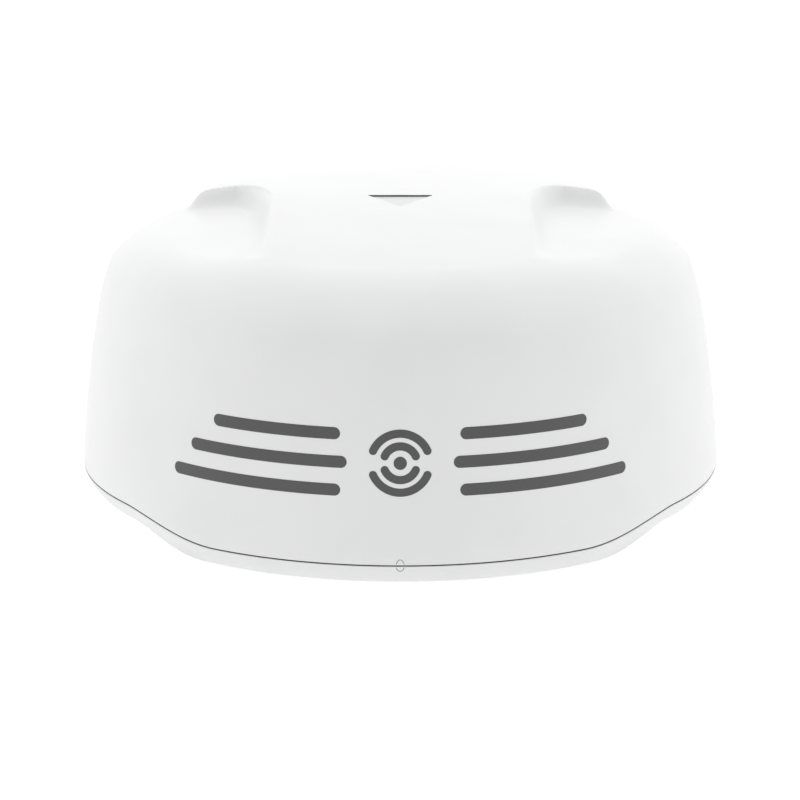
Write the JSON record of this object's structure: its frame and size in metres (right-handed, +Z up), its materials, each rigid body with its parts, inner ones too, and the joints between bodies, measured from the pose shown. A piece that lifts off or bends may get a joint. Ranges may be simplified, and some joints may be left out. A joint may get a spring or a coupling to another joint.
{
  "type": "radar dome antenna",
  "caption": "Round marine radar dome: raised-hood radome over a base tray, with a motor-driven rotating antenna array, belt drive and electronics inside.",
  "frame": {"origin": "centre of the mounting face under the base, on the antenna's axis", "axes": "+Z up along the antenna's axis, -Y towards the bow (the side that carries the graphic), +X to starboard"},
  "size_m": [0.508, 0.508, 0.248],
  "materials": {
    "dome_plastic": "satin white moulded plastic",
    "base_plastic": "white moulded plastic, finely textured",
    "rubber": "matte black rubber",
    "aluminium": "milled and cast aluminium",
    "steel": "stainless steel",
    "brass": "turned brass",
    "black_plastic": "black engineering plastic",
    "board": "green solder resist",
    "array_board": "bare microwave laminate",
    "motor_paint": "dark painted steel can",
    "cable_jacket": "black cable jacket"
  },
  "bodies": {
    "base": {"base_housing": "base_plastic", "bearing_housing": "aluminium", "breather_vent": "black_plastic", "capacitor_1": "black_plastic", "capacitor_2": "black_plastic", "chassis_plate": "aluminium", "chassis_screw_1": "steel", "chassis_screw_2": "steel", "chassis_screw_3": "steel", "chassis_screw_4": "steel", "cover_screw_1": "steel", "cover_screw_2": "steel", "cover_screw_3": "steel", "cover_screw_4": "steel", "cover_screw_5": "steel", "cover_screw_6": "steel", "index_sensor": "black_plastic", "lower_bearing": "steel", "main_board": "board", "motor_body": "motor_paint", "motor_bracket": "steel", "motor_cable": "cable_jacket", "mount_bush_1": "brass", "mount_bush_2": "brass", "mount_bush_3": "brass", "mount_bush_4": "brass", "network_cable": "cable_jacket", "network_socket": "black_plastic", "power_cable": "cable_jacket", "power_module": "black_plastic", "power_socket": "black_plastic", "seam_gasket": "rubber", "shield_can": "aluminium", "slip_ring_stator": "black_plastic", "timing_belt": "rubber", "upper_bearing": "steel"},
    "radome": {"radome_shell": "dome_plastic", "thread_insert_1": "brass", "thread_insert_2": "brass", "thread_insert_3": "brass", "thread_insert_4": "brass", "thread_insert_5": "brass", "thread_insert_6": "brass"},
    "rotor": {"antenna_backplate": "aluminium", "antenna_panel": "array_board", "bracket_screw_1": "steel", "bracket_screw_2": "steel", "bracket_screw_3": "steel", "bracket_screw_4": "steel", "coax_jumper": "cable_jacket", "driven_pulley": "black_plastic", "index_magnet": "steel", "rf_heatsink": "aluminium", "rf_module": "aluminium", "slip_ring_rotor": "black_plastic", "spindle_shaft": "steel", "turntable_bracket": "aluminium"},
    "motor_rotor": {"motor_shaft": "steel", "motor_pulley": "aluminium"}
  },
  "joints": [
    {"name": "dome_lift", "type": "slide", "parent": "base", "child": "radome", "axis": [0, 0, 1], "range_m": [0, 0.26]},
    {"name": "antenna_spin", "type": "hinge", "parent": "base", "child": "rotor", "pos_m": [0, 0, 0.07], "axis": [0, 0, 1], "continuous": true},
    {"name": "motor_spin", "type": "hinge", "parent": "base", "child": "motor_rotor", "pos_m": [0.085, 0, 0.07], "axis": [0, 0, 1], "continuous": true}
  ],
  "couplings": [
    {"joint": "motor_spin", "follows": "antenna_spin", "ratio": 4.8}
  ]
}
